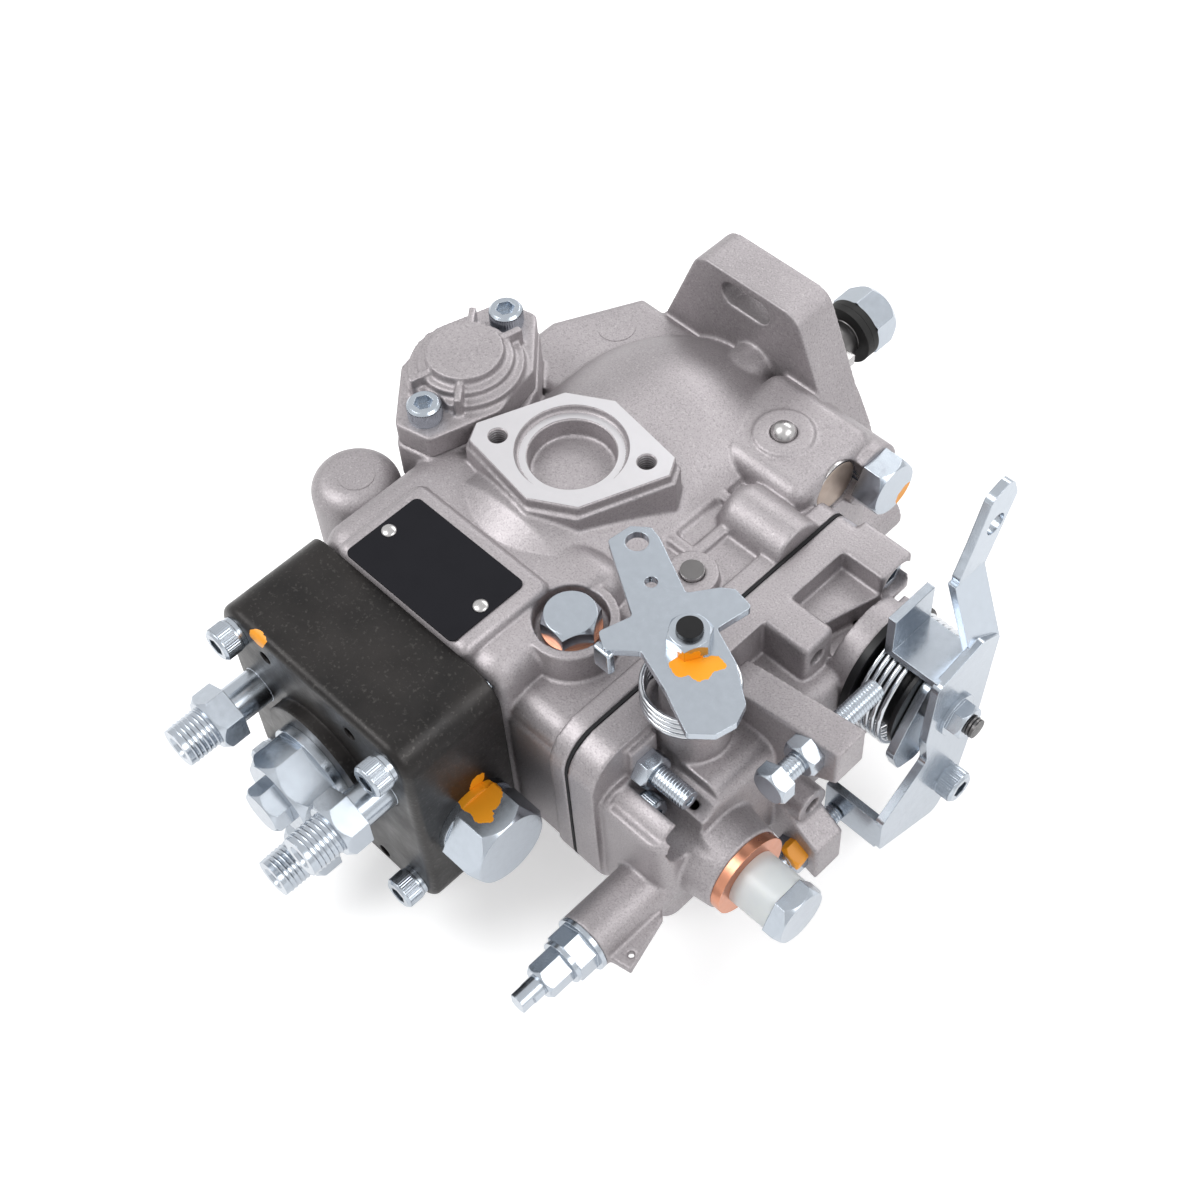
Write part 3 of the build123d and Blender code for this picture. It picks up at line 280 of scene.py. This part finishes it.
def black_steel(name, paint):
    """Blackened steel with a fine rough skin and an oily unevenness."""
    m = Nodes(name)
    colour = m.ramp(m.noise(55.0, 5.0), [(0.32, (0.009, 0.008, 0.008)), (0.72, (0.024, 0.021, 0.020))])
    specks = m.ramp(m.noise(900.0, 3.0), [(0.58, BLACK), (0.75, GREY)])
    colour = m.mix(specks, colour, (0.09, 0.085, 0.08))
    roughness = patchy(m, 120.0, 4.0, 0.38, 0.08, 0.08)
    colour, metallic, roughness = painted(m, colour, 0.5, roughness, paint)
    normal = m.bump(m.noise(900.0, 3.0), 0.5, 0.12 * MM, 1.0 * MM)
    return m.finish(Base_Color=colour, Metallic=metallic, Roughness=roughness, Normal=normal)


def zinc(name, paint=()):
    """Bright bluish zinc plate, with its dabs of orange paint."""
    m = Nodes(name)
    low, high = colour_pair(ZINC_COLOUR, 0.05)
    colour = m.mix(m.noise(420.0, 3.0), low, high)
    roughness = patchy(m, 500.0, 3.0, ZINC_ROUGH, 0.03, 0.05)
    colour, metallic, roughness = painted(m, colour, 1.0, roughness, paint)
    normal = m.bump(m.noise(700.0, 2.0), 0.10, 0.03 * MM, 0.35 * MM)
    return m.finish(Base_Color=colour, Metallic=metallic, Roughness=roughness, Normal=normal)


def plain_metal(name, base, rough, metallic=1.0, spread=0.08):
    """Ground or drawn metal with slight unevenness."""
    m = Nodes(name)
    low, high = colour_pair(base, spread)
    colour = m.mix(m.noise(250.0, 3.0), low, high)
    roughness = patchy(m, 300.0, 3.0, rough, 0.04, 0.07)
    normal = m.bump(m.noise(450.0), 0.1, 0.03 * MM, 0.25 * MM)
    return m.finish(Base_Color=colour, Metallic=metallic, Roughness=roughness, Normal=normal)


def dull(name, base, rough, shine):
    """Rubber, plastic, fibre or paint with a fine surface."""
    m = Nodes(name)
    low, high = colour_pair(base, 0.12)
    colour = m.mix(m.noise(90.0, 4.0), low, high)
    roughness = patchy(m, 200.0, 3.0, rough, 0.06, 0.08)
    normal = m.bump(m.noise(800.0, 3.0), 0.2, 0.04 * MM, 0.3 * MM)
    return m.finish(Base_Color=colour, Roughness=roughness, Normal=normal, Specular_IOR_Level=shine)


def nylon(name):
    """Milky nylon that lets light in."""
    m = Nodes(name)
    colour = m.mix(m.noise(80.0), (0.60, 0.64, 0.65), (0.72, 0.75, 0.76))
    normal = m.bump(m.noise(350.0), 0.1, 0.04 * MM, 0.4 * MM)
    return m.finish(Base_Color=colour, Roughness=0.32, Normal=normal, Subsurface_Weight=0.35,
                    Subsurface_Radius=(0.004, 0.004, 0.005))


# Mesh helpers

AXES = {"x": Vector((1, 0, 0)), "y": Vector((0, 1, 0)), "z": Vector((0, 0, 1))}


def frame_of(axis, at, start):
    """Matrix whose Z runs along an axis from a station; at holds the other two coordinates."""
    along = AXES[axis]
    across = {"x": AXES["y"], "y": AXES["z"], "z": AXES["x"]}[axis]
    third = along.cross(across)
    origin = {"x": Vector((start, at[0], at[1])), "y": Vector((at[0], start, at[1])),
              "z": Vector((at[0], at[1], start))}[axis] * MM
    turn = Matrix((across, third, along)).transposed().to_4x4()
    return Matrix.Translation(origin) @ turn


def new_piece(name, verts, faces, material, body, smooth=True):
    """Mesh object that rides on a body."""
    mesh = bpy.data.meshes.new(name)
    mesh.from_pydata(verts, [], faces)
    mesh.validate()
    obj = bpy.data.objects.new(name, mesh)
    scene.collection.objects.link(obj)
    mesh.materials.append(material)
    for face in mesh.polygons:
        face.use_smooth = smooth
    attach(obj, body)
    return obj


def around(r, angle, h):
    """Point at a radius, an angle and a height about Z, given in millimetres."""
    return Vector((r * math.cos(angle), r * math.sin(angle), h)) * MM


def thread(name, axis, at, start, end, r, pitch, material, body, depth=0.32, inside=False):
    """Screw thread whose crests stand just proud of its CAD cylinder, or inwards in a bore."""
    low, high = min(start, end), max(start, end)
    sides = THREAD_SIDES
    rows = max(4, int((high - low) / pitch * THREAD_STEPS))
    place = frame_of(axis, at, low)
    verts = []
    for i in range(rows + 1):
        h = (high - low) * i / rows
        fade = min(1.0, min(h, high - low - h) / (pitch * 0.6) + 0.05)
        for k in range(sides):
            phase = (h / pitch - k / sides) % 1.0
            crest = 1.0 - abs(phase - 0.5) * 2.0
            rise = (depth + THREAD_SINK) * max(0.0, crest * 1.5 - 0.35) / 1.15 * fade
            radius = r + THREAD_SINK - rise if inside else r - THREAD_SINK + rise
            angle = 2 * math.pi * k / sides
            verts.append(place @ around(radius, angle, h))
    faces = []
    for i in range(rows):
        for k in range(sides):
            a, b = i * sides + k, i * sides + (k + 1) % sides
            faces.append((a, a + sides, b + sides, b) if inside else (a, b, b + sides, a + sides))
    if not inside:
        faces.append(tuple(reversed(range(sides))))
        faces.append(tuple(rows * sides + k for k in range(sides)))
    return new_piece(name, verts, faces, material, body)


def knurl(name, axis, at, start, end, r, material, body):
    """Straight knurl round a screw head."""
    low, high = min(start, end), max(start, end)
    place = frame_of(axis, at, low)
    verts, faces = [], []
    n = KNURL_RIDGES * 2
    for h in (0.0, high - low):
        for k in range(n):
            radius = r + (0.16 if k % 2 else -0.02)
            verts.append(place @ around(radius, 2 * math.pi * k / n, h))
    for k in range(n):
        faces.append((k, (k + 1) % n, n + (k + 1) % n, n + k))
    return new_piece(name, verts, faces, material, body, smooth=False)


def wire(name, points, r, material, body):
    """Round wire through points, as a curve."""
    data = bpy.data.curves.new(name, "CURVE")
    data.dimensions = "3D"
    data.bevel_depth = r * MM
    data.bevel_resolution = 3
    data.use_fill_caps = True
    spline = data.splines.new("POLY")
    spline.points.add(len(points) - 1)
    for point, at in zip(spline.points, points):
        point.co = (*at, 1.0)
    spline.use_smooth = True
    obj = bpy.data.objects.new(name, data)
    scene.collection.objects.link(obj)
    data.materials.append(material)
    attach(obj, body)
    return obj


def coil_points(axis, at, start, end, r, turns):
    """Points of a coil spring, in metres."""
    place = frame_of(axis, at, start)
    count = int(turns * 32)
    points = []
    for i in range(count + 1):
        angle = 2 * math.pi * turns * i / count
        points.append(place @ around(r, angle, (end - start) * i / count))
    return points


def softened(node_name, material, body):
    """Copy of a CAD casting with soft cast blends in place of its sharp edges."""
    source = nodes[node_name]
    work = bpy.data.objects.new(node_name + "_work", source.data.copy())
    scene.collection.objects.link(work)
    remesh = work.modifiers.new("remesh", "REMESH")
    remesh.mode = "VOXEL"
    remesh.voxel_size = CAST_VOXEL * MM
    remesh.use_smooth_shade = True
    smooth = work.modifiers.new("smooth", "SMOOTH")
    smooth.factor = 0.5
    smooth.iterations = CAST_PASSES
    graph = bpy.context.evaluated_depsgraph_get()
    mesh = bpy.data.meshes.new_from_object(work.evaluated_get(graph))
    bpy.data.objects.remove(work)
    mesh.name = node_name + "_cast"
    mesh.materials.clear()
    mesh.materials.append(material)
    for face in mesh.polygons:
        face.use_smooth = True
    obj = bpy.data.objects.new(node_name + "_cast", mesh)
    scene.collection.objects.link(obj)
    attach(obj, body)
    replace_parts(obj, node_name)
    return obj


def dress(node_name, material):
    """Gives a carried-over CAD node its material."""
    mesh = nodes[node_name].data
    mesh.materials.clear()
    mesh.materials.append(material)


def loose_parts(node_name):
    """Low and high corners of the separate solids of a CAD node, in millimetres."""
    mesh = nodes[node_name].data
    seats, owner = {}, []
    for vertex in mesh.vertices:
        key = tuple(round(c, 6) for c in vertex.co)
        owner.append(seats.setdefault(key, len(seats)))
    group = list(range(len(seats)))

    def top(i):
        while group[i] != i:
            group[i] = group[group[i]]
            i = group[i]
        return i

    for edge in mesh.edges:
        a, b = (top(owner[i]) for i in edge.vertices)
        group[a] = b
    boxes = {}
    for vertex in mesh.vertices:
        at = vertex.co / MM
        low, high = boxes.setdefault(top(owner[vertex.index]), (at.copy(), at.copy()))
        for i in range(3):
            low[i], high[i] = min(low[i], at[i]), max(high[i], at[i])
    return sorted(boxes.values(), key=lambda box: tuple(box[0]))


def centre_line(low, high, axis):
    """The two coordinates of a solid's centre line, in the order frame_of takes them."""
    middle = (low + high) / 2
    return {"x": (middle.y, middle.z), "y": (middle.x, middle.z), "z": (middle.x, middle.y)}[axis]


def knurled_heads(node_name, axis, body):
    """Straight knurl round each socket head of a node; heads point away from the origin."""
    i = "xyz".index(axis)
    for n, (low, high) in enumerate(loose_parts(node_name)):
        if high[i] - low[i] < SCREW_HEAD_H * 2:
            continue
        way = 1 if low[i] + high[i] > 0 else -1
        tip = high[i] if way > 0 else low[i]
        across = max(high[j] - low[j] for j in range(3) if j != i)
        knurl(f"{node_name}_knurl_{n}", axis, centre_line(low, high, axis), tip - way * 1.0,
              tip - way * (SCREW_HEAD_H - 0.7), across / 2, ZINC, body)


def dome(name, axis, at, base, r, height, material, body):
    """Domed rivet head standing on a face."""
    place = frame_of(axis, at, base)
    rings, sides = 6, 28
    verts = []
    for j in range(rings):
        lean = math.pi / 2 * j / rings
        for k in range(sides):
            angle = 2 * math.pi * k / sides
            verts.append(place @ around(r * math.cos(lean), angle, height * math.sin(lean)))
    verts.append(place @ Vector((0, 0, height * MM)))
    faces = [tuple(reversed(range(sides)))]
    for j in range(rings - 1):
        for k in range(sides):
            a, b = j * sides + k, j * sides + (k + 1) % sides
            faces.append((a, b, b + sides, a + sides))
    last = (rings - 1) * sides
    for k in range(sides):
        faces.append((last + k, last + (k + 1) % sides, len(verts) - 1))
    return new_piece(name, verts, faces, material, body)


def ring_points(r, x=0.0, y=0.0, count=64):
    """Points of a circle in a sheet, about x and y."""
    angles = [2 * math.pi * k / count for k in range(count)]
    return [(x + r * math.cos(angle), y + r * math.sin(angle)) for angle in angles]


def sheet_face(name, plane, outline, holes, thick, material, body):
    """Thin flat plate with round holes, in a plane given as a matrix; sizes in millimetres."""
    data = bpy.data.curves.new(name, "CURVE")
    data.dimensions = "2D"
    data.fill_mode = "BOTH"
    data.extrude = thick * MM / 2
    for ring in (outline, *(ring_points(r, x, y) for x, y, r in holes)):
        spline = data.splines.new("POLY")
        spline.points.add(len(ring) - 1)
        spline.use_cyclic_u = True
        for point, (x, y) in zip(spline.points, ring):
            point.co = (x * MM, y * MM, 0.0, 1.0)
    shape = bpy.data.objects.new(name + "_shape", data)
    scene.collection.objects.link(shape)
    graph = bpy.context.evaluated_depsgraph_get()
    mesh = bpy.data.meshes.new_from_object(shape.evaluated_get(graph))
    bpy.data.objects.remove(shape)
    mesh.transform(plane)
    mesh.materials.clear()
    mesh.materials.append(material)
    obj = bpy.data.objects.new(name, mesh)
    scene.collection.objects.link(obj)
    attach(obj, body)
    return obj


def flat(at, turn):
    """Matrix of a level plane turned about Z."""
    return Matrix.Translation(at) @ Matrix.Rotation(turn, 4, "Z")


# Light and floor

def area(name, at, size, power):
    """Soft lamp aimed at the middle of the pump."""
    data = bpy.data.lights.new(name, "AREA")
    data.shape = "RECTANGLE"
    data.size, data.size_y = size
    data.energy = power
    lamp = bpy.data.objects.new(name, data)
    scene.collection.objects.link(lamp)
    lamp.location = at
    lamp.rotation_euler = (Vector(LAMP_AIM) - Vector(at)).to_track_quat("-Z", "Y").to_euler()


def white_rays(tree):
    """Socket that is 1 for the rays by which camera, metal and glass see the background."""
    path = tree.nodes.new("ShaderNodeLightPath")
    total = path.outputs["Is Camera Ray"]
    for ray in ("Is Glossy Ray", "Is Transmission Ray"):
        either = tree.nodes.new("ShaderNodeMath")
        either.operation = "MAXIMUM"
        tree.links.new(total, either.inputs[0])
        tree.links.new(path.outputs[ray], either.inputs[1])
        total = either.outputs[0]
    return total


def studio_world():
    """White surroundings that light the pump more weakly than they show."""
    world = bpy.data.worlds.new("studio")
    scene.world = world
    world.use_nodes = True
    tree = world.node_tree
    ground = tree.nodes["Background"]
    shown = tree.nodes.new("ShaderNodeBackground")
    shown.inputs["Color"].default_value = (1, 1, 1, 1)
    shown.inputs["Strength"].default_value = 1.0
    ground.inputs["Color"].default_value = (1, 1, 1, 1)
    ground.inputs["Strength"].default_value = WORLD_LIGHT
    mix = tree.nodes.new("ShaderNodeMixShader")
    tree.links.new(white_rays(tree), mix.inputs[0])
    tree.links.new(ground.outputs[0], mix.inputs[1])
    tree.links.new(shown.outputs[0], mix.inputs[2])
    tree.links.new(mix.outputs[0], tree.nodes["World Output"].inputs["Surface"])


def white_floor():
    """Plain floor just under the pump that keeps its shadow."""
    low = cad_box[0][2] - FLOOR_GAP
    corners = [(x * FLOOR_HALF, y * FLOOR_HALF, low) for x, y in ((-1, -1), (1, -1), (1, 1), (-1, 1))]
    mesh = bpy.data.meshes.new("floor")
    mesh.from_pydata(corners, [], [(0, 1, 2, 3)])
    floor = bpy.data.objects.new("floor", mesh)
    scene.collection.objects.link(floor)
    mat = bpy.data.materials.new("floor_white")
    mat.use_nodes = True
    tree = mat.node_tree
    shader = tree.nodes["Principled BSDF"]
    shader.inputs["Base Color"].default_value = (0.9, 0.9, 0.9, 1)
    shader.inputs["Roughness"].default_value = 0.9
    shader.inputs["Emission Color"].default_value = (1, 1, 1, 1)
    lift = tree.nodes.new("ShaderNodeMath")
    lift.operation = "MULTIPLY"
    lift.inputs[1].default_value = FLOOR_LIFT
    tree.links.new(white_rays(tree), lift.inputs[0])
    tree.links.new(lift.outputs[0], shader.inputs["Emission Strength"])
    mesh.materials.append(mat)


def lamps():
    """Key, fill and back light."""
    area("key", (-0.55, -0.75, 1.15), (0.8, 0.8), 11.0)
    area("fill", (0.95, 0.1, 0.9), (0.9, 0.6), 6.0)
    area("back", (-0.2, 0.9, 0.8), (1.0, 0.4), 5.0)


# Materials of the pump

CAST = cast_metal("cast_alloy")
MACHINED = machined_metal("machined_alloy", (0.60, 0.59, 0.61))
HEAD_BLACK = black_steel("black_steel", HEAD_PAINT)
ZINC = zinc("zinc_steel")
STOP_ZINC = zinc("zinc_stop_nut", STOP_PAINT)
PLUG_ZINC = zinc("zinc_side_plug", PLUG_PAINT)
NUT_ZINC = zinc("zinc_lock_nuts", NUT_PAINT)
VALVE_ZINC = zinc("zinc_valve", VALVE_PAINT)
STEEL = plain_metal("steel", (0.46, 0.45, 0.45), 0.26)
GREY_STEEL = plain_metal("grey_steel", (0.16, 0.155, 0.155), 0.33)
SPRING = plain_metal("spring_steel", (0.52, 0.54, 0.57), 0.16)
COPPER = plain_metal("copper", (0.60, 0.27, 0.17), 0.30, spread=0.1)
STAINED = plain_metal("stained_plug", (0.42, 0.34, 0.29), 0.45, metallic=0.7, spread=0.2)
BRONZE = plain_metal("bronze", (0.60, 0.43, 0.20), 0.32)
PLATE = dull("black_plate", (0.006, 0.006, 0.009), 0.45, shine=0.15)
PLASTIC = dull("black_plastic", (0.008, 0.008, 0.009), 0.34, shine=0.25)
NYLON = nylon("white_nylon")
RUBBER = dull("rubber", (0.012, 0.012, 0.012), 0.6, shine=0.3)
GASKET = dull("gasket", (0.02, 0.02, 0.022), 0.7, shine=0.2)

DRESS = (
    (ZINC, "timing_screws head_screws delivery_holders central_plug bleed_bolt cover_screws cover_stud "
           "full_load_screw full_load_nut return_bolt stop_screws pivot_bolts shaft_nut control_lever "
           "control_lever_nut lever_screw"),
    (PLUG_ZINC, "shutoff_plug"),
    (NUT_ZINC, "lock_nuts"),
    (VALVE_ZINC, "pressure_valve"),
    (STOP_ZINC, "stop_lever stop_nut"),
    (HEAD_BLACK, "distributor_head"),
    (GREY_STEEL, "drive_shaft control_shaft"),
    (STEEL, "supply_pump_ring supply_pump_plate supply_pump_rotor governor_shaft distributor_barrel "
            "sealing_plugs shaft_key drive_gear cross_disc cam_plate plunger governor_carrier flyweights "
            "governor_sleeve governor_lever roller_ring rollers timing_piston control_sleeve"),
    (SPRING, "timing_spring plunger_springs governor_spring control_spring stop_spring"),
    (COPPER, "copper_washers"),
    (BRONZE, "shaft_bush"),
    (PLATE, "nameplate"),
    (PLASTIC, "control_bush stop_shaft"),
    (NYLON, "return_union"),
    (RUBBER, "shaft_seal shaft_washers"),
    (GASKET, "cover_gasket"),
    (CAST, "pump_housing governor_cover timing_covers"),
)


# Pieces of the pump


def castings():
    for name in ("pump_housing", "governor_cover", "timing_covers"):
        softened(name, CAST, "housing")


def pad_details():
    """Milled face and ring of the octagonal pad, and the threads in its two holes."""
    length, width = PAD_HALF_LEN - PAD_TRIM, PAD_HALF_W - PAD_TRIM
    end, side = PAD_END_HALF, PAD_SIDE_HALF
    outline = [(length, -end), (length, end), (side, width), (-side, width), (-length, end), (-length, -end),
               (-side, -width), (side, -width)]
    holes = [(0, 0, PAD_RING_R + 0.3)]
    holes += [(way * PAD_HOLE_GAP / 2, 0, PAD_HOLE_R) for way in (-1, 1)]
    face_at = PAD + Vector((0, 0, FILM_LIFT * MM))
    sheet_face("pad_face", flat(face_at, PAD_TURN), outline, holes, FILM, MACHINED, "housing")
    ring_at = face_at - Vector((0, 0, PAD_RING_DEEP * MM))
    sheet_face("pad_ring", flat(ring_at, PAD_TURN), ring_points(PAD_RING_R - PAD_TRIM),
               [(0, 0, PAD_WELL_R + PAD_TRIM)], FILM, MACHINED, "housing")
    top = PAD.z / MM
    for n, hole in enumerate(PAD_HOLES):
        thread(f"pad_thread_{n}", "z", (hole.x / MM, hole.y / MM), top - TAPPED_DEEP, top - 0.4, TAPPED_R,
               M6_PITCH, MACHINED, "housing", inside=True)


def screw_threads():
    """Threads on the outlet ends, the stop screws, the stud, the control shaft and the nose of the drive shaft."""
    for n, (low, high) in enumerate(loose_parts("delivery_holders")):
        thread(f"outlet_thread_{n}", "y", centre_line(low, high, "y"), low.y + 1.0, low.y + 11.0, OUTLET_R,
               M12_PITCH, ZINC, "housing", 0.3)
    for n, (low, high) in enumerate(loose_parts("stop_screws")):
        thread(f"stop_screw_thread_{n}", "y", centre_line(low, high, "y"), low.y + 5.0, high.y - 0.3, M6_R,
               M6_PITCH, ZINC, "housing", 0.22)
    low, high = loose_parts("cover_stud")[0]
    thread("stud_thread", "x", centre_line(low, high, "x"), high.x - 12.0, high.x - 0.3, M6_R, M6_PITCH, ZINC,
           "housing", 0.22)
    low, high = loose_parts("control_shaft")[0]
    thread("control_thread", "x", CONTROL_LINE, high.x - 8.0, high.x, M6_R, M6_PITCH, PLASTIC, "control", 0.2)
    low, high = loose_parts("drive_shaft")[0]
    thread("nose_thread", "y", (0.0, 0.0), high.y - 18.0, high.y - 1.2, M12_R, M12_PITCH, GREY_STEEL, "drive",
           0.3)


def springs():
    """Round-wire springs of the two levers in place of the plain CAD coils."""
    low, high = loose_parts("control_spring")[0]
    r = (high.z - low.z) / 2 - CONTROL_WIRE
    points = coil_points("x", CONTROL_LINE, low.x + CONTROL_WIRE, high.x - CONTROL_WIRE, r, CONTROL_TURNS)
    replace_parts(wire("control_spring_wire", points, CONTROL_WIRE, SPRING, "control"), "control_spring")
    low, high = loose_parts("stop_spring")[0]
    r = (high.x - low.x) / 2 - STOP_WIRE
    line = centre_line(low, high, "z")
    points = coil_points("z", line, low.z + STOP_WIRE, high.z - STOP_WIRE, r, STOP_TURNS)
    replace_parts(wire("stop_spring_wire", points, STOP_WIRE, SPRING, "housing"), "stop_spring")


def rivets():
    """Domed heads on the two rivets of the plate."""
    parts = loose_parts("nameplate")
    plate = max(parts, key=lambda box: box[1].x - box[0].x)
    for n, box in enumerate(parts):
        if box != plate:
            dome(f"plate_rivet_{n}", "z", centre_line(*box, "z"), plate[1].z - 0.05, RIVET_R, 1.0, STEEL,
                 "housing")


def pressed_parts():
    """Dark end of the dowel and stained face of the core plug."""
    dowel, plug = loose_parts("sealing_plugs")[1:]
    x, y = centre_line(*dowel, "z")
    sheet_face("dowel_end", flat(Vector((x, y, dowel[1].z + FILM_LIFT)) * MM, 0.0),
               ring_points((dowel[1].x - dowel[0].x) / 2 - 0.1), [], FILM, GREY_STEEL, "housing")
    dome("core_plug_face", "x", centre_line(*plug, "x"), plug[1].x - 0.1, (plug[1].z - plug[0].z) / 2 - 0.5,
         PLUG_DOME_H, STAINED, "housing")


def pin_marks():
    """Round marks that the mould's pins left on the casting."""
    for n, (x, y, z, r) in enumerate(PIN_MARKS):
        sheet_face(f"pin_mark_{n}", flat(Vector((x, y, z)) * MM, 0.0), ring_points(r), [], PIN_MARK_T, CAST,
                   "housing")


scene.view_settings.view_transform = "Standard"
place_camera()
studio_world()
white_floor()
lamps()
for material, names in DRESS:
    for name in names.split():
        dress(name, material)
castings()
pad_details()
screw_threads()
springs()
rivets()
pressed_parts()
pin_marks()
knurled_heads("timing_screws", "z", "housing")
knurled_heads("head_screws", "y", "housing")
knurled_heads("cover_screws", "x", "housing")
knurled_heads("lever_screw", "x", "control")
